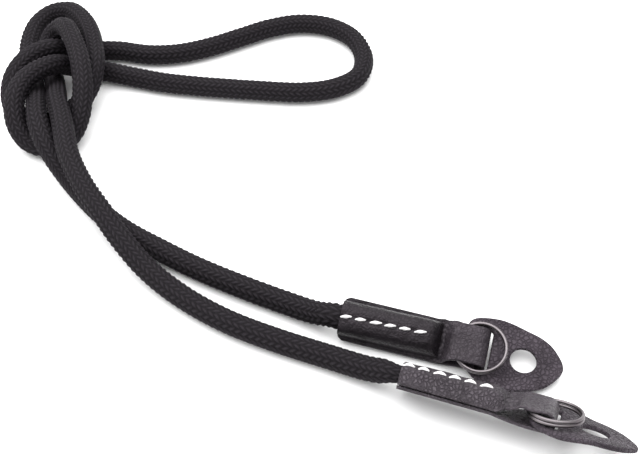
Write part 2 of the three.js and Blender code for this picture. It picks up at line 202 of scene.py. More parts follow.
# Levels inside a cover, measured up from the rope's axis
STRIP_TOP = -TUNNEL_HEIGHT / 2
STRIP_UNDERSIDE = STRIP_TOP - COVER_LEATHER
LAID_LEVEL = STRIP_TOP + CLEARANCE + COVER_LEATHER
CREST_LEVEL = TUNNEL_HEIGHT / 2 + COVER_LEATHER
LOOP_LEVEL = STRIP_TOP + LOOP_HEIGHT + COVER_LEATHER
FOLD_RADIUS = (LOOP_LEVEL - STRIP_UNDERSIDE) / 2
FOLD_CENTRE = COVER_LENGTH - FOLD_RADIUS
FLAP_UNDERSIDE = STRIP_TOP + CLEARANCE
RING_BOTTOM = FLAP_UNDERSIDE + FLAP_LEATHER + CLEARANCE
CREASE = ROPE_END + 5.5


def lerp(a, b, share):
    return a + (b - a) * share


def smoothstep(value, start, end):
    share = min(max((value - start) / (end - start), 0.0), 1.0)
    return share * share * (3 - 2 * share)


def roll_at(end, distance):
    places = [place * COVER_LENGTH for place, _ in end["roll"]]
    return math.radians(float(np.interp(distance, places, [degrees for _, degrees in end["roll"]])))


def end_frame(end):
    """x along the rope's axis from the cover's mouth, y across it, z up."""
    heading = Matrix.Rotation(math.radians(end["heading"]), 4, "Z")
    rise = Matrix.Rotation(-math.radians(end["rise"]), 4, "Y")
    return Matrix.Translation(Vector(end["mouth"]) + CENTRING) @ heading @ rise


def fold_frame(end):
    return end_frame(end) @ Matrix.Rotation(roll_at(end, COVER_LENGTH), 4, "X")


# Camera


def set_camera():
    camera = bpy.data.cameras.new("camera")
    camera.sensor_width = 36.0
    camera.lens = FOCAL_PIXELS * camera.sensor_width / FRAME_WIDTH
    camera.clip_start = 0.01
    holder = bpy.data.objects.new("camera", camera)
    holder.location = CAMERA_PLACE * MM
    holder.rotation_euler = (math.radians(90.0 - CAMERA_DOWN), 0.0, 0.0)
    bpy.context.scene.collection.objects.link(holder)
    bpy.context.scene.camera = holder


# Meshes


def make_piece(name, points, faces, material, node=None, uvs=None, marks=None):
    """A smooth-shaded mesh piece from points in millimetres.

    uvs has one pair for each face corner, and marks names lists with one value for each point."""
    mesh = bpy.data.meshes.new(name)
    mesh.from_pydata((np.asarray(points, dtype=float) * MM).tolist(), [], faces)
    mesh.polygons.foreach_set("use_smooth", [True] * len(mesh.polygons))
    if uvs is not None:
        layer = mesh.uv_layers.new(name="lay")
        layer.data.foreach_set("uv", np.asarray(uvs, dtype=np.float32).ravel())
    for mark, values in (marks or {}).items():
        attribute = mesh.attributes.new(mark, "FLOAT", "POINT")
        attribute.data.foreach_set("value", np.asarray(values, dtype=np.float32))
    mesh.materials.append(material)
    mesh.update()
    piece = bpy.data.objects.new(name, mesh)
    bpy.context.scene.collection.objects.link(piece)
    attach(piece, "root")
    if node:
        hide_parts(node)
    return piece


def outward(piece):
    """Turns every face of a closed piece outward."""
    mesh = bmesh.new()
    mesh.from_mesh(piece.data)
    bmesh.ops.recalc_face_normals(mesh, faces=mesh.faces)
    mesh.to_mesh(piece.data)
    mesh.free()


def tube_points(centres, across, up, radii):
    """Rings of points round a centre line; radii has one row for each ring and one column for each side."""
    sides = radii.shape[1]
    angles = np.linspace(0, 2 * math.pi, sides, endpoint=False)[None, :, None]
    spokes = np.cos(angles) * across[:, None, :] + np.sin(angles) * up[:, None, :]
    return (centres[:, None, :] + spokes * radii[:, :, None]).reshape(-1, 3)


def tube_faces(rings, sides):
    """The quads between a tube's rings, and its two end caps."""
    faces = []
    for ring in range(rings - 1):
        for side in range(sides):
            following = (side + 1) % sides
            low, high = ring * sides, (ring + 1) * sides
            faces.append((low + side, low + following, high + following, high + side))
    faces.append(tuple(reversed(range(sides))))
    faces.append(tuple(range((rings - 1) * sides, rings * sides)))
    return faces


# The rope's line


def smooth_route(points, parts=36):
    """The centripetal Catmull-Rom line through the points."""
    guides = [2 * points[0] - points[1], *points, 2 * points[-1] - points[-2]]
    fine = []
    for before, a, b, after in zip(guides, guides[1:], guides[2:], guides[3:]):
        gaps = [math.sqrt((q - p).length) for p, q in ((before, a), (a, b), (b, after))]
        leave = (a - before) / gaps[0] - (b - before) / (gaps[0] + gaps[1]) + (b - a) / gaps[1]
        arrive = (b - a) / gaps[1] - (after - a) / (gaps[1] + gaps[2]) + (after - b) / gaps[2]
        leave, arrive = leave * gaps[1], arrive * gaps[1]
        for part in range(parts):
            t = part / parts
            point = a * (2 * t**3 - 3 * t**2 + 1) + leave * (t**3 - 2 * t**2 + t)
            fine.append(point + b * (3 * t**2 - 2 * t**3) + arrive * (t**3 - t**2))
    fine.append(points[-1])
    return np.array([tuple(point) for point in fine])


def on_axis(end, distance):
    return end_frame(end) @ Vector((distance, 0, 0))


def rope_line():
    inside = (ROPE_END, ROPE_END / 2, ROPE_END / 8, -STRAIGHT_BEFORE_COVER)
    points = [on_axis(ENDS["rear"], distance) for distance in inside]
    points += [Vector(point) + CENTRING for point in ROPE_ROUTE]
    points += [on_axis(ENDS["front"], distance) for distance in reversed(inside)]
    line = smooth_route(points)
    lengths = np.concatenate([[0], np.cumsum(np.linalg.norm(np.diff(line, axis=0), axis=1))])
    places = np.arange(ROPE_LEFT_OFF, lengths[-1] - ROPE_LEFT_OFF, LINE_STEP)
    return np.stack([np.interp(places, lengths, line[:, axis]) for axis in range(3)], axis=1)


def carried_frames(line):
    """Directions across the line that turn with it but don't spin round it."""
    along = np.gradient(line, axis=0)
    along /= np.linalg.norm(along, axis=1)[:, None]
    across = np.zeros_like(along)
    current = np.cross(along[0], (0, 0, 1.0))
    for i, direction in enumerate(along):
        current = current - direction * current.dot(direction)
        current /= np.linalg.norm(current)
        across[i] = current
    return across, np.cross(along, across)


def press_ends(points):
    """Presses the rope flatter and wider where it enters a cover, as the solid is."""
    height_share = (TUNNEL_HEIGHT - 2 * CLEARANCE) / (2 * ROPE_RADIUS)
    width_share = (TUNNEL_WIDTH - 3.4 * CLEARANCE) / (2 * ROPE_RADIUS)
    for end in ENDS.values():
        place = end_frame(end)
        matrix, back = np.array(place), np.array(place.inverted())
        local = points @ back[:3, :3].T + back[:3, 3]
        near = np.hypot(local[:, 1], local[:, 2]) < 2 * ROPE_RADIUS
        near &= (local[:, 0] > -PRESS_LENGTH) & (local[:, 0] < COVER_LENGTH)
        for i in np.nonzero(near)[0]:
            x, y, z = local[i]
            pressed = smoothstep(x, -PRESS_LENGTH, 0)
            roll = roll_at(end, x)
            cos, sin = math.cos(roll), math.sin(roll)
            across = (y * cos + z * sin) * lerp(1, width_share, pressed)
            up = (z * cos - y * sin) * lerp(1, height_share, pressed)
            turned = (x, across * cos - up * sin, across * sin + up * cos)
            points[i] = matrix[:3, :3] @ np.array(turned) + matrix[:3, 3]


def braided_rope(material):
    """One tube whose rings zigzag with the braid: its floats lean one way in one column and the other way
    in the next. Each float is raised in its middle, and the rings run straight at the rope's two ends."""
    line = rope_line()
    spacing = np.concatenate([[0], np.cumsum(np.linalg.norm(np.diff(line, axis=0), axis=1))])
    across, up = carried_frames(line)
    length = spacing[-1]
    rings = int(length / BRAID_PITCH * RINGS_PER_FLOAT) + 1
    sides = BRAID_COLUMNS * POINTS_PER_COLUMN

    base = np.linspace(0, length, rings)[:, None]
    float_number = base / BRAID_PITCH
    column_place = np.arange(sides)[None, :] / POINTS_PER_COLUMN
    column = np.floor(column_place)
    within = column_place - column
    zigzag = np.where(column % 2 == 0, within, 1 - within) - 0.5
    settle = np.clip(np.minimum(base, length - base) / SETTLE_LENGTH, 0, 1)
    places = base + BRAID_PITCH * zigzag * settle

    crown = (0.5 + 0.5 * np.cos(2 * math.pi * (float_number - 0.5 * (column % 2)))) ** 0.8
    middle = np.sin(math.pi * within) ** 0.8
    relief = crown * (0.25 + 0.75 * middle)
    radius = ROPE_RADIUS - BRAID_DEPTH * (1 - relief)

    angle = 2 * math.pi * column_place / BRAID_COLUMNS
    points = np.zeros((rings, sides, 3))
    for axis in range(3):
        centre = np.interp(places, spacing, line[:, axis])
        side = np.interp(places, spacing, across[:, axis]) * np.cos(angle)
        rise = np.interp(places, spacing, up[:, axis]) * np.sin(angle)
        points[:, :, axis] = centre + radius * (side + rise)
    points = points.reshape(-1, 3)
    press_ends(points)

    faces = tube_faces(rings, sides)
    uvs = []
    for ring in range(rings - 1):
        low, high = float_number[ring, 0], float_number[ring + 1, 0]
        for side in range(sides):
            left, right = side / POINTS_PER_COLUMN, (side + 1) / POINTS_PER_COLUMN
            uvs += [(left, low), (right, low), (right, high), (left, high)]
    uvs += [(0, 0)] * (2 * sides)
    marks = {"relief": relief.ravel()}
    rope = make_piece("braided_rope", points, faces, material, "rope", uvs, marks)
    outward(rope)

    return rope


# The leather covers


def arch(across, half_width):
    """1 over the rope's middle, 0 from the given half width outwards."""
    share = min(abs(across) / half_width, 1.0)
    return (1 - share**TUNNEL_ROUNDNESS) ** (1 / TUNNEL_ROUNDNESS)


def upper_layer_rows(end):
    """The upper layer's outside: place along the cover, level of the crest, level beside it, and lean."""
    loop_start = COVER_LENGTH - end["ring_inside"] - RING_DIAMETER / 2 - CLEARANCE
    middle = (CREASE + loop_start) / 2
    creased = lerp(LAID_LEVEL, CREST_LEVEL, end["crease_level"])
    low_rise = lerp(creased, LOOP_LEVEL, 0.4)
    high_rise = lerp(creased, LOOP_LEVEL, 0.8)
    return np.array([
        (0, CREST_LEVEL, LAID_LEVEL, 0),
        (ROPE_END, CREST_LEVEL, LAID_LEVEL, 0),
        (ROPE_END + 2, lerp(LAID_LEVEL, CREST_LEVEL, 0.9), LAID_LEVEL, 0),
        (ROPE_END + 3.6, lerp(creased, CREST_LEVEL, 0.55), lerp(LAID_LEVEL, creased, 0.5), CREASE_LEAN / 2),
        (CREASE - 0.7, creased + 0.2, creased, CREASE_LEAN),
        (CREASE + 0.9, creased, creased, CREASE_LEAN),
        (middle, low_rise, low_rise, CREASE_LEAN / 2),
        ((middle + loop_start) / 2, high_rise, high_rise, 0),
        (loop_start, LOOP_LEVEL, LOOP_LEVEL, 0),
        (FOLD_CENTRE, LOOP_LEVEL, LOOP_LEVEL, 0),
    ])


def half_strip(place):
    """Half the strip's width, which narrows evenly from the crease to the loop."""
    places = (0, ROPE_END + 5, COVER_LENGTH - 11, COVER_LENGTH)
    halves = (TUNNEL_STRIP_WIDTH / 2, TUNNEL_STRIP_WIDTH / 2, LOOP_STRIP_WIDTH / 2, LOOP_STRIP_WIDTH / 2)
    return float(np.interp(place, places, halves))


def stitch_dent(place, across, side):
    """How deep the thread pulls the leather in at the two ends of each stitch."""
    dent = 0.0
    for number in range(STITCHES):
        start = FIRST_STITCH + number * STITCH_PITCH
        for hole in (start, start + STITCH_LENGTH):
            away = (place - hole) ** 2 + (across - side) ** 2
            dent += DENT_DEPTH * math.exp(-away / DENT_SPREAD)
    return dent


def leather_waves(place, across, seed):
    """Low waves over the leather, stronger beside the crease, as worn leather has."""
    spot = Vector((place * 0.16, across * 0.22, seed))
    slow = noise.noise(spot) * WAVE_HEIGHT
    puckers = math.exp(-((place - CREASE) ** 2) / PUCKER_SPREAD)
    quick = noise.noise(Vector((place * 0.35, across * 0.6, seed + 7.0))) * PUCKER_HEIGHT
    return slow + puckers * quick


def cover_profile(end, across_share, seed):
    """The points of the folded strip's closed outline at one place across it, seen from the side.

    The strip's two edges are rounded, so the outermost outlines are thinner."""
    rows = upper_layer_rows(end)
    edge = 1 - abs(across_share)
    into_edge = max(EDGE_ROUNDING - edge * TUNNEL_STRIP_WIDTH / 2, 0.0)
    thinner = EDGE_ROUNDING - math.sqrt(max(EDGE_ROUNDING**2 - into_edge**2, 0.0))
    inner_half, outer_half = TUNNEL_WIDTH / 2, TUNNEL_WIDTH / 2 + COVER_LEATHER

    def across_at(place):
        return across_share * half_strip(place)

    def upper(place, leather, half_width):
        across = across_at(place)
        crest, beside, lean = (float(np.interp(place, rows[:, 0], rows[:, column])) for column in (1, 2, 3))
        level = lerp(beside, crest, arch(across, half_width)) + lean * across / (TUNNEL_STRIP_WIDTH / 2)
        return level - leather

    lower_places = np.linspace(0, FOLD_CENTRE, LOWER_LAYER_POINTS)
    upper_places = np.linspace(0, FOLD_CENTRE, UPPER_LAYER_POINTS)
    angles = np.radians(np.linspace(-90, 90, FOLD_POINTS))[1:-1]
    middle = STRIP_UNDERSIDE + FOLD_RADIUS
    outline = []
    for place in lower_places:
        outline.append((place, STRIP_UNDERSIDE + thinner))
    for angle in angles:
        radius = FOLD_RADIUS - thinner
        outline.append((FOLD_CENTRE + radius * math.cos(angle), middle + radius * math.sin(angle)))
    for place in reversed(upper_places):
        across = across_at(place)
        waves = leather_waves(place, across, seed) * smoothstep(edge, 0, 0.1)
        waves *= 1 - smoothstep(place, FOLD_CENTRE - 6, FOLD_CENTRE)
        dent = stitch_dent(place, across, end["stitch_side"])
        outline.append((place, upper(place, 0, outer_half) - thinner - dent + waves))
    for place in upper_places:
        outline.append((place, upper(place, COVER_LEATHER, inner_half) + thinner))
    for angle in reversed(angles):
        radius = FOLD_RADIUS - COVER_LEATHER + thinner
        outline.append((FOLD_CENTRE + radius * math.cos(angle), middle + radius * math.sin(angle)))
    for place in reversed(lower_places):
        outline.append((place, STRIP_TOP - thinner))
    # the strip's corners at the mouth are rounded off
    corner = CORNER_ROUNDING * smoothstep(abs(across_share), 0.8, 1.0) ** 2
    shaped = []
    for place, level in outline:
        rounded_off = corner * (1 - smoothstep(place, 0, 5))
        shaped.append((place + rounded_off, across_at(place), level))
    return shaped


def leather_cover(name, material, seed):
    """The folded strip, lofted through its outlines from one edge to the other."""
    end = ENDS[name]
    inner = np.linspace(-0.94, 0.94, 45)
    shares = [-1, -0.99, -0.965, *inner, 0.965, 0.99, 1]
    sections = [cover_profile(end, share, seed) for share in shares]
    count = len(sections[0])
    to_row = end_frame(end)
    points, uvs, faces = [], [], []
    for section in sections:
        for x, y, z in section:
            points.append(tuple(to_row @ (Matrix.Rotation(roll_at(end, x), 4, "X") @ Vector((x, y, z)))))
    for s in range(len(sections) - 1):
        for i in range(count):
            j = (i + 1) % count
            corners = (s * count + i, s * count + j, (s + 1) * count + j, (s + 1) * count + i)
            faces.append(corners)
            for corner in corners:
                x, y, _ = sections[corner // count][corner % count]
                uvs.append((x, y))
    # the rounded edges are almost closed; a strip between the outline's outer and inner halves closes them
    outer = count // 2
    for s in (0, len(sections) - 1):
        for i in range(outer - 1):
            quad = [s * count + k for k in (i, i + 1, count - 2 - i, count - 1 - i)]
            faces.append(tuple(quad))
            for corner in quad:
                x, y, _ = sections[corner // count][corner % count]
                uvs.append((x, y))
    # the loop mark blends grain and tone from tunnel to loop; on the rear cover the darker tone over the
    # tunnel is painted shade
    marks = {"loop": [smoothstep(x, CREASE - 1, CREASE + 2) for section in sections for x, _, _ in section]}
    node = f"{name}_cover"
    piece = make_piece(f"{name}_leather_cover", points, faces, material, node, uvs, marks)
    outward(piece)
    return piece


def saddle_stitches(name, material):
    """A row of stitches of two-ply thread, each one diving into its holes at both ends."""
    end = ENDS[name]
    to_row = end_frame(end)
    points, faces, uvs = [], [], []
    steps, sides = THREAD_STEPS, THREAD_SIDES
    for number in range(STITCHES):
        start = FIRST_STITCH + number * STITCH_PITCH
        slant = 0.3 + 0.14 * math.sin(2.7 * number + 1)
        length = STITCH_LENGTH * (1 + 0.07 * math.sin(4.1 * number))
        centres = []
        for step in range(steps):
            share = step / (steps - 1)
            side = end["stitch_side"] + lerp(-slant, slant, share)
            leather = lerp(LAID_LEVEL, CREST_LEVEL, arch(side, TUNNEL_WIDTH / 2 + COVER_LEATHER))
            height = leather - THREAD_SUNK + THREAD_RISE * math.sin(math.pi * share) ** 0.7
            place = start + length * share
            local = Vector((place, side, height))
            centres.append(tuple(to_row @ (Matrix.Rotation(roll_at(end, place), 4, "X") @ local)))
        centres = np.array(centres)
        across, up = carried_frames(centres)
        share = np.linspace(0, 1, steps)[:, None]
        angle = np.linspace(0, 2 * math.pi, sides, endpoint=False)[None, :]
        swell = 0.35 + 0.65 * np.sin(math.pi * share) ** 0.7
        ply = 1 + PLY_DEPTH * np.cos(2 * angle + 2 * math.pi * PLY_TURNS * share)
        offset = len(points)
        points += tube_points(centres, across, up, THREAD_RADIUS * swell * ply).tolist()
        for face in tube_faces(steps, sides):
            faces.append(tuple(offset + corner for corner in face))
            uvs += [((corner // sides) / steps * 4, (corner % sides) / sides) for corner in face]
    piece = make_piece(f"{name}_stitches", points, faces, material, uvs=uvs)
    outward(piece)
    return piece


# The split rings


def split_ring(name, material):
    """Nearly two turns of wire, lying on the flap inside the loop and crossing from one layer to the next."""
    end = ENDS[name]
    mean_radius = (RING_DIAMETER - WIRE_DIAMETER) / 2
    step_up = WIRE_DIAMETER + COIL_GAP
    tilt = math.radians(RING_TILT)
    lift = RING_BOTTOM + (step_up + WIRE_DIAMETER) / 2 + mean_radius * math.sin(tilt)
    to_row = fold_frame(end) @ Matrix.Translation((COVER_LENGTH - end["ring_inside"], 0, lift))
    to_row = to_row @ Matrix.Rotation(-tilt, 4, "Y")
    centres = []
    for step in range(RING_STEPS + 1):
        degrees = RING_TURN * step / RING_STEPS
        angle = math.radians(degrees + 180)
        height = step_up * (smoothstep(degrees, *RING_CROSSING) - 0.5)
        spot = Vector((mean_radius * math.cos(angle), mean_radius * math.sin(angle), height))
        centres.append(tuple(to_row @ spot))
    centres = np.array(centres)
    across, up = carried_frames(centres)
    steps = np.arange(RING_STEPS + 1)
    from_tip = np.clip(np.minimum(steps, RING_STEPS - steps) / TIP_STEPS, 0.0, 1)
    thickness = TIP_THICKNESS + (1 - TIP_THICKNESS) * np.sqrt(from_tip)
    radii = WIRE_DIAMETER / 2 * thickness[:, None] * np.ones((1, RING_SIDES))
    points = tube_points(centres, across, up, radii)
    faces = tube_faces(RING_STEPS + 1, RING_SIDES)
    piece = make_piece(f"{name}_split_ring", points, faces, material, f"{name}_ring")
    outward(piece)
    return piece


# The flaps

# Share of the length from the blunt end, and half widths on the far and near sides as shares of the width
FLAP_OUTLINE = [
    (0, 0.28, 0.16),
    (0.025, 0.39, 0.23),
    (0.08, 0.45, 0.31),
    (0.15, 0.475, 0.39),
    (0.22, 0.49, 0.44),
    (0.35, 0.5, 0.48),
    (0.5, 0.487, 0.487),
    (0.62, 0.45, 0.45),
    (0.74, 0.4, 0.4),
    (0.85, 0.315, 0.315),
    (0.93, 0.2, 0.2),
    (0.985, 0.085, 0.085),
]


def arc(centre_x, centre_y, radius, start, stop, parts):
    angles = np.radians(np.linspace(start, stop, parts, endpoint=False))
    return [(centre_x + radius * math.cos(a), centre_y + radius * math.sin(a)) for a in angles]


def flap_edges():
    """The flap's outline, its round hole and its cross slot, each as a closed loop of points."""
    start = COVER_LENGTH - FLAP_BEHIND_FOLD
    far = [Vector((start + along * FLAP_LENGTH, half * FLAP_WIDTH, 0)) for along, half, _ in FLAP_OUTLINE]
    near = [Vector((start + along * FLAP_LENGTH, -half * FLAP_WIDTH, 0)) for along, _, half in FLAP_OUTLINE]
    guides = [*far, Vector((start + FLAP_LENGTH, 0, 0)), *reversed(near)]
    curve = smooth_route(guides, 8)
    blunt = [tuple(lerp(curve[-1], curve[0], share)[:2]) for share in np.linspace(0, 1, 10)[1:-1]]
    outline = [tuple(point[:2]) for point in curve] + blunt

    hole = arc(COVER_LENGTH + HOLE_FROM_FOLD, 0, HOLE_DIAMETER / 2, 0, 360, 56)
    far_x = COVER_LENGTH + SLOT_PAST_FOLD - SLOT_WIDTH / 4
    near_x = COVER_LENGTH + SLOT_PAST_FOLD - SLOT_WIDTH * 3 / 4
    half = LOOP_STRIP_WIDTH / 2 + SLOT_SIDE_ROOM - SLOT_WIDTH / 4
    slot = []
    for x, y, turn in ((far_x, half, 0), (near_x, half, 90), (near_x, -half, 180), (far_x, -half, 270)):
        slot += arc(x, y, SLOT_WIDTH / 4, turn, turn + 90, 6)
        if turn in (90, 270):
            side_x = x - SLOT_WIDTH / 4 if turn == 90 else x + SLOT_WIDTH / 4
            slot += [(side_x, y * share) for share in np.linspace(1, -1, 14)[1:-1]]
    return outline, hole, slot


def inside_loop(x, y, loop):
    inside = False
    for (x0, y0), (x1, y1) in zip(loop, loop[1:] + loop[:1]):
        if (y0 > y) != (y1 > y) and x < (x1 - x0) * (y - y0) / (y1 - y0) + x0:
            inside = not inside
    return inside


def moved_in(loop, distance, into_leather):
    """The loop moved into the leather by a distance; the leather is on its left at 1, on its right at -1."""
    points = np.array(loop)
    along = np.roll(points, -1, axis=0) - np.roll(points, 1, axis=0)
    along /= np.linalg.norm(along, axis=1)[:, None]
    side = np.stack([-along[:, 1], along[:, 0]], axis=1) * into_leather
    return points + side * distance


def on_leather(x, y, borders):
    outline, *openings = borders
    return inside_loop(x, y, outline) and not any(inside_loop(x, y, opening) for opening in openings)


def flap_face(signed):
    """The flat face inside the rounded rims, as a triangulation with an even field of points."""
    rims = [moved_in(loop, FLAP_ROUNDING, side) for loop, side in signed]
    borders = [[tuple(point) for point in rim] for rim in rims]
    edges, flat = [], []
    for rim in rims:
        start = len(flat)
        flat += [tuple(point) for point in rim]
        edges += [(start + i, start + (i + 1) % len(rim)) for i in range(len(rim))]
    rim_points = np.array(flat)
    start = COVER_LENGTH - FLAP_BEHIND_FOLD
    for row, x in enumerate(np.arange(start, start + FLAP_LENGTH, FACE_GRID)):
        for y in np.arange(-FLAP_WIDTH / 2, FLAP_WIDTH / 2, FACE_GRID) + (FACE_GRID / 2 if row % 2 else 0):
            if not on_leather(x, y, borders):
                continue
            if np.min(np.hypot(rim_points[:, 0] - x, rim_points[:, 1] - y)) < FACE_GRID * 0.55:
                continue
            flat.append((x, y))
    result = geometry.delaunay_2d_cdt([Vector(p) for p in flat], edges, [], 0, 1e-6)
    verts, triangles, origins = result[0], result[2], result[3]
    place_of = {origin: i for i, group in enumerate(origins) for origin in group}
    kept = []
    for triangle in triangles:
        x = sum(verts[i].x for i in triangle) / 3
        y = sum(verts[i].y for i in triangle) / 3
        if on_leather(x, y, borders):
            kept.append(tuple(triangle))
    return verts, kept, place_of, rims


def pebbled_flap(name, material):
    """Both faces, joined round each rim by rows that round the leather's edge."""
    end = ENDS[name]
    outline, hole, slot = flap_edges()
    # which side of each loop is leather follows from the way round it runs
    signed = []
    for number, loop in enumerate((outline, hole, slot)):
        points = np.array(loop)
        area = np.sum(points[:, 0] * np.roll(points[:, 1], -1) - np.roll(points[:, 0], -1) * points[:, 1])
        leftward = 1 if area > 0 else -1
        signed.append((loop, leftward if number == 0 else -leftward))

    verts, kept, place_of, rims = flap_face(signed)
    top, bottom = FLAP_UNDERSIDE + FLAP_LEATHER, FLAP_UNDERSIDE
    local = [(v.x, v.y, top) for v in verts] + [(v.x, v.y, bottom) for v in verts]
    below = len(verts)
    faces = list(kept) + [tuple(below + i for i in reversed(triangle)) for triangle in kept]
    start = 0
    for (loop, side), rim in zip(signed, rims):
        rows = [[place_of[start + i] for i in range(len(rim))]]
        for face_level, inward, turns in ((top, -1, (30, 60, 90)), (bottom, 1, (90, 60, 30))):
            for degrees in turns:
                inset = FLAP_ROUNDING * (1 - math.sin(math.radians(degrees)))
                drop = FLAP_ROUNDING * (1 - math.cos(math.radians(degrees)))
                ring = moved_in(loop, inset, side)
                rows.append(list(range(len(local), len(local) + len(ring))))
                local += [(x, y, face_level + inward * drop) for x, y in ring]
        rows.append([below + place_of[start + i] for i in range(len(rim))])
        for upper_row, lower_row in zip(rows, rows[1:]):
            for i in range(len(rim)):
                j = (i + 1) % len(rim)
                faces.append((upper_row[i], upper_row[j], lower_row[j], lower_row[i]))
        start += len(rim)

    slot_end = COVER_LENGTH + SLOT_PAST_FOLD
    flap_end = COVER_LENGTH - FLAP_BEHIND_FOLD + FLAP_LENGTH
    twist = math.radians(end["flap_roll"]) - roll_at(end, COVER_LENGTH)
    to_row = fold_frame(end)
    points = []
    for x, y, z in local:
        share = max(0.0, (x - slot_end) / (flap_end - slot_end))
        z -= end["flap_droop"] * share**2
        turn = twist * smoothstep(x, slot_end, COVER_LENGTH + HOLE_FROM_FOLD)
        points.append(tuple(to_row @ (Matrix.Rotation(turn, 4, "X") @ Vector((x, y, z)))))
    uvs = [(local[corner][0], local[corner][1]) for face in faces for corner in face]
    piece = make_piece(f"{name}_pebbled_flap", points, faces, material, f"{name}_flap", uvs)
    outward(piece)
    return piece


# Materials. Tones are pairs of colours that a mask blends between.
YARN_TINT = (1.0, 0.9, 1.0, 1.0)
# the yarn's two tones are painted shade in the braid's valleys and painted light on its floats
YARN_SHADE_AND_LIGHT_TONES = (0.0017, 0.0015, 0.0018, 1), (0.0178, 0.0156, 0.0188, 1)
LEATHER_TINT = (1.0, 0.9, 0.99, 1.0)
# the smooth tones, far darker than the loop tones on the same strip, are painted shade over the rear cover's
# tunnel
SHADED_SMOOTH_TONES = (0.0035, 0.0027, 0.0035, 1), (0.0085, 0.0068, 0.0085, 1)
PEBBLED_TONES = (0.018, 0.0149, 0.018, 1), (0.033, 0.0277, 0.033, 1)
LOOP_TONES = (0.024, 0.02, 0.024, 1), (0.039, 0.0327, 0.039, 1)
FLAP_TONES = (0.038, 0.0316, 0.038, 1), (0.061, 0.051, 0.061, 1)
VALLEY_TONE = (0.004, 0.0036, 0.004, 1)
THREAD_TONES = (0.62, 0.6, 0.6, 1), (0.86, 0.85, 0.86, 1)
STEEL_TONES = (0.14, 0.126, 0.133, 1), (0.2, 0.181, 0.191, 1)
FLOOR_TONES = (0.94, 0.94, 0.94, 1), (0.95, 0.95, 0.95, 1)


class Nodes:
    """Short ways to add and join nodes in a material or a group."""

    def __init__(self, tree):
        self.tree = tree

    def add(self, kind, inputs=None, **settings):
        node = self.tree.nodes.new(kind)
        for name, value in settings.items():
            setattr(node, name, value)
        for name, value in (inputs or {}).items():
            self.set(node.inputs[name], value)
        return node

    def set(self, socket, value):
        if isinstance(value, bpy.types.NodeSocket):
            self.tree.links.new(value, socket)
        else:
            socket.default_value = value

    def math(self, operation, a, b=None, clamp=False):
        node = self.add("ShaderNodeMath", {0: a}, operation=operation, use_clamp=clamp)
        if b is not None:
            self.set(node.inputs[1], b)
        return node.outputs[0]

    def spread(self, value, low, high, to_low=0.0, to_high=1.0):
        """Carries a value from one range to another with soft ends."""
        given = {"Value": value, "From Min": low, "From Max": high, "To Min": to_low, "To Max": to_high}
        return self.add("ShaderNodeMapRange", given, interpolation_type="SMOOTHSTEP").outputs["Result"]

    def blend(self, share, a, b):
        node = self.add("ShaderNodeMix", data_type="RGBA")
        self.set(node.inputs["Factor"], share)
        self.set(node.inputs[6], a)
        self.set(node.inputs[7], b)
        return node.outputs[2]

    def vector_math(self, operation, a, given):
        return self.add("ShaderNodeVectorMath", {0: a, **given}, operation=operation).outputs[0]

    def noise(self, place, scale, detail=2.0, distortion=0.0, output="Fac"):
        given = {"Vector": place, "Scale": scale, "Detail": detail, "Distortion": distortion}
        return self.add("ShaderNodeTexNoise", given).outputs[output]

    def bump(self, height, strength, distance):
        given = {"Height": height, "Strength": strength, "Distance": distance}
        return self.add("ShaderNodeBump", given).outputs["Normal"]


def new_group(name, inputs, outputs):
    group = bpy.data.node_groups.new(name, "ShaderNodeTree")
    for socket, kind, value in inputs:
        made = group.interface.new_socket(socket, in_out="INPUT", socket_type=kind)
        made.default_value = value
    for socket, kind in outputs:
        group.interface.new_socket(socket, in_out="OUTPUT", socket_type=kind)
    nodes = Nodes(group)
    return group, nodes, nodes.add("NodeGroupInput"), nodes.add("NodeGroupOutput")


def leather_grain_group():
    """Pebbles parted by fine valleys, with finer pores over them. Sizes are pebbles to the metre."""
    group, nodes, given, out = new_group(
        "leather grain",
        [("Pebbles", "NodeSocketFloat", 700.0), ("Pores", "NodeSocketFloat", 2600.0),
         ("Pore share", "NodeSocketFloat", 0.2), ("Wrinkle share", "NodeSocketFloat", 0.5)],
        [("Height", "NodeSocketFloat"), ("Valleys", "NodeSocketFloat"), ("Patches", "NodeSocketFloat")],
    )
    place = nodes.add("ShaderNodeTexCoord").outputs["Object"]
    # uneven places keep the pebbles' borders from being straight
    bend = nodes.vector_math("SUBTRACT", nodes.noise(place, 420.0, output="Color"), {1: (0.5, 0.5, 0.5)})
    bend = nodes.vector_math("SCALE", bend, {"Scale": 0.0011})
    uneven = nodes.vector_math("ADD", place, {1: bend})
    spots = {"Vector": uneven, "Scale": given.outputs["Pebbles"]}
    cells = nodes.add("ShaderNodeTexVoronoi", spots, feature="DISTANCE_TO_EDGE").outputs["Distance"]
    domes = nodes.spread(cells, 0.0, 0.25)
    pores = nodes.noise(place, given.outputs["Pores"], 3.0)
    pores = nodes.math("MULTIPLY", pores, given.outputs["Pore share"])
    wrinkles = nodes.spread(nodes.noise(place, 210.0, 4.0, 1.2), 0.3, 0.7)
    wrinkles = nodes.math("MULTIPLY", wrinkles, given.outputs["Wrinkle share"])
    nodes.set(out.inputs["Height"], nodes.math("ADD", nodes.math("ADD", domes, pores), wrinkles))
    nodes.set(out.inputs["Valleys"], nodes.spread(cells, 0.0, 0.13, 1.0, 0.0))
    nodes.set(out.inputs["Patches"], nodes.spread(nodes.noise(place, 90.0, 4.0), 0.35, 0.65))
    return group


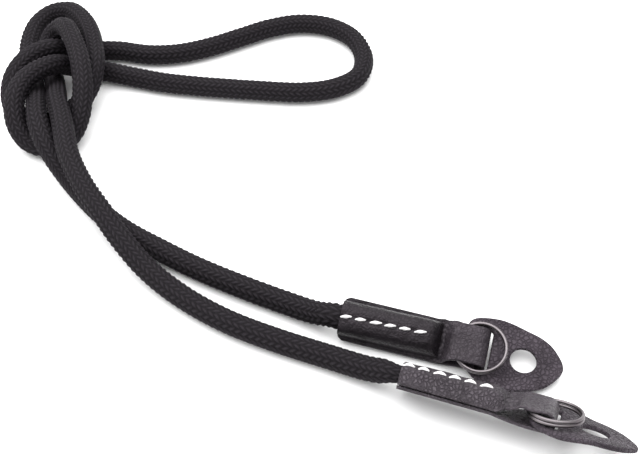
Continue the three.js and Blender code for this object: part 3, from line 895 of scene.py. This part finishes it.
def yarn_lines_group():
    """Filaments side by side along a yarn, from the piece's own lay of the yarn."""
    group, nodes, given, out = new_group(
        "yarn lines",
        [("Lines", "NodeSocketFloat", 4.0), ("Unevenness", "NodeSocketFloat", 0.35)],
        [("Height", "NodeSocketFloat"), ("Fuzz", "NodeSocketFloat")],
    )
    lay = nodes.add("ShaderNodeUVMap", uv_map="lay").outputs["UV"]
    parts = nodes.add("ShaderNodeSeparateXYZ", {0: lay})
    wander = nodes.math("MULTIPLY", nodes.noise(lay, 2.2, 3.0), given.outputs["Unevenness"])
    turns = nodes.math("ADD", parts.outputs["Y"], wander)
    turns = nodes.math("MULTIPLY", turns, given.outputs["Lines"])
    wave = nodes.math("SINE", nodes.math("MULTIPLY", turns, 2 * math.pi))
    nodes.set(out.inputs["Height"], nodes.math("MULTIPLY_ADD", wave, 0.5, True))
    nodes.set(out.inputs["Fuzz"], nodes.noise(lay, 9.0, 4.0))
    return group


GRAIN = leather_grain_group()
YARN = yarn_lines_group()


def new_material(name, **shader):
    """A material whose shader has the given values, with an underscore for each space in a socket's name."""
    material = bpy.data.materials.new(name)
    material.use_nodes = True
    nodes = Nodes(material.node_tree)
    principled = material.node_tree.nodes["Principled BSDF"]
    for socket, value in shader.items():
        principled.inputs[socket.replace("_", " ")].default_value = value
    return material, nodes, principled


def placed(nodes, group, **values):
    """A group's node in a material, with an underscore for each space in a socket's name."""
    node = nodes.add("ShaderNodeGroup", node_tree=group)
    for name, value in values.items():
        nodes.set(node.inputs[name.replace("_", " ")], value)
    return node


def black_rope_yarn():
    """Yarn painted dark as shade where a float dives under and painted light where it stands up, from the
    rope's relief.
    """
    shine = {"Specular_IOR_Level": 0.22, "Specular_Tint": YARN_TINT}
    material, nodes, principled = new_material("black rope yarn", **shine)
    relief = nodes.add("ShaderNodeAttribute", attribute_name="relief").outputs["Fac"]
    yarn = placed(nodes, YARN, Lines=4.0)
    height = nodes.spread(relief, 0.15, 0.9)
    lines = nodes.math("MULTIPLY", yarn.outputs["Height"], 0.35)
    # the lit mask paints shade into the braid's valleys and light onto the floats' crowns
    lit = nodes.math("MULTIPLY", height, nodes.math("ADD", 0.65, lines), clamp=True)
    nodes.set(principled.inputs["Base Color"], nodes.blend(lit, *YARN_SHADE_AND_LIGHT_TONES))
    nodes.set(principled.inputs["Roughness"], nodes.spread(yarn.outputs["Fuzz"], 0.3, 0.7, 0.62, 0.86))
    nodes.set(principled.inputs["Normal"], nodes.bump(yarn.outputs["Height"], 0.45, 0.00016))
    return material


def dark_leather(name, tones, loop_tones, pebbles, depth, loop_depth, wrinkles, roughness, gloss):
    """Leather whose grain and tone change from the part over the rope to the loop round the ring."""
    material, nodes, principled = new_material(name, Specular_IOR_Level=gloss, Specular_Tint=LEATHER_TINT)
    grain = placed(nodes, GRAIN, Pebbles=pebbles, Wrinkle_share=wrinkles)
    loop = nodes.add("ShaderNodeAttribute", attribute_name="loop").outputs["Fac"]
    tunnel_tone = nodes.blend(grain.outputs["Patches"], *tones)
    loop_tone = nodes.blend(grain.outputs["Patches"], *loop_tones)
    # on the rear cover the tunnel's far darker tone is painted shade
    tone = nodes.blend(loop, tunnel_tone, loop_tone)
    grain_depth = nodes.spread(loop, 0.0, 1.0, 1.0, loop_depth)
    dark = nodes.math("MULTIPLY", grain.outputs["Valleys"], 0.45)
    nodes.set(principled.inputs["Base Color"], nodes.blend(dark, tone, VALLEY_TONE))
    rough = nodes.spread(grain.outputs["Valleys"], 0.0, 1.0, roughness, roughness + 0.25)
    nodes.set(principled.inputs["Roughness"], rough)
    height = nodes.math("MULTIPLY", grain.outputs["Height"], grain_depth)
    nodes.set(principled.inputs["Normal"], nodes.bump(height, depth, 0.0004))
    return material


def white_thread():
    material, nodes, principled = new_material("white thread", Sheen_Weight=0.2)
    yarn = placed(nodes, YARN, Lines=3.0)
    nodes.set(principled.inputs["Base Color"], nodes.blend(yarn.outputs["Height"], *THREAD_TONES))
    nodes.set(principled.inputs["Roughness"], nodes.spread(yarn.outputs["Fuzz"], 0.3, 0.7, 0.55, 0.8))
    nodes.set(principled.inputs["Normal"], nodes.bump(yarn.outputs["Height"], 0.5, 0.00012))
    return material


def dark_ring_steel():
    material, nodes, principled = new_material("dark ring steel", Metallic=1.0)
    place = nodes.add("ShaderNodeTexCoord").outputs["Object"]
    smear = nodes.noise(place, 80.0, 1.0)
    nodes.set(principled.inputs["Base Color"], nodes.blend(smear, *STEEL_TONES))
    nodes.set(principled.inputs["Roughness"], nodes.spread(smear, 0.3, 0.7, 0.34, 0.42))
    return material


def pale_floor():
    material, nodes, principled = new_material("pale floor", Roughness=0.9, Specular_IOR_Level=0.1)
    place = nodes.add("ShaderNodeTexCoord").outputs["Object"]
    nodes.set(principled.inputs["Base Color"], nodes.blend(nodes.noise(place, 6.0), *FLOOR_TONES))
    return material


# The room, in metres
FLOOR_HALF = 3.0
FLOOR_GAP = 0.0004


def lay_floor():
    mesh = bpy.data.meshes.new("floor")
    corners = [(x * FLOOR_HALF, y * FLOOR_HALF, 0) for x, y in ((-1, -1), (1, -1), (1, 1), (-1, 1))]
    mesh.from_pydata(corners, [], [(0, 1, 2, 3)])
    mesh.materials.append(pale_floor())
    floor = bpy.data.objects.new("floor", mesh)
    floor.location.z = -FLOOR_GAP
    bpy.context.scene.collection.objects.link(floor)


def hang_light(name, place, aim, size, watts):
    light = bpy.data.lights.new(name, "AREA")
    light.shape = "SQUARE"
    light.size = size
    light.energy = watts
    lamp = bpy.data.objects.new(name, light)
    lamp.location = place
    lamp.rotation_euler = (Vector(aim) - Vector(place)).to_track_quat("-Z", "Y").to_euler()
    bpy.context.scene.collection.objects.link(lamp)


def light_room():
    world = bpy.data.worlds.new("soft white room")
    world.use_nodes = True
    background = world.node_tree.nodes["Background"]
    background.inputs["Color"].default_value = (1, 1, 1, 1)
    background.inputs["Strength"].default_value = 0.85
    bpy.context.scene.world = world
    bpy.context.scene.view_settings.view_transform = "Standard"
    hang_light("overhead softbox", (-0.1, 0.22, 1.2), (0, 0, 0), size=2.0, watts=40)
    hang_light("left softbox", (-1.0, 0.0, 0.9), (0, 0, 0), size=1.0, watts=5)


set_camera()
braided_rope(black_rope_yarn())
# its smooth tones hold painted shade over the rear cover's tunnel
smooth_leather = dark_leather(
    "smooth dark leather", SHADED_SMOOTH_TONES, LOOP_TONES,
    pebbles=760.0, depth=0.34, loop_depth=1.7, wrinkles=2.4, roughness=0.36, gloss=0.24,
)
pebbled_leather = dark_leather(
    "pebbled dark leather", PEBBLED_TONES, LOOP_TONES,
    pebbles=680.0, depth=0.85, loop_depth=0.3, wrinkles=0.5, roughness=0.4, gloss=0.42,
)
flap_leather = dark_leather(
    "pebbled flap leather", FLAP_TONES, FLAP_TONES,
    pebbles=660.0, depth=0.9, loop_depth=1.0, wrinkles=0.5, roughness=0.5, gloss=0.13,
)
thread = white_thread()
ring_steel = dark_ring_steel()
for end_name, cover_leather, wave_seed in (("rear", smooth_leather, 3.0), ("front", pebbled_leather, 11.0)):
    leather_cover(end_name, cover_leather, wave_seed)
    saddle_stitches(end_name, thread)
    split_ring(end_name, ring_steel)
    pebbled_flap(end_name, flap_leather)
lay_floor()
light_room()
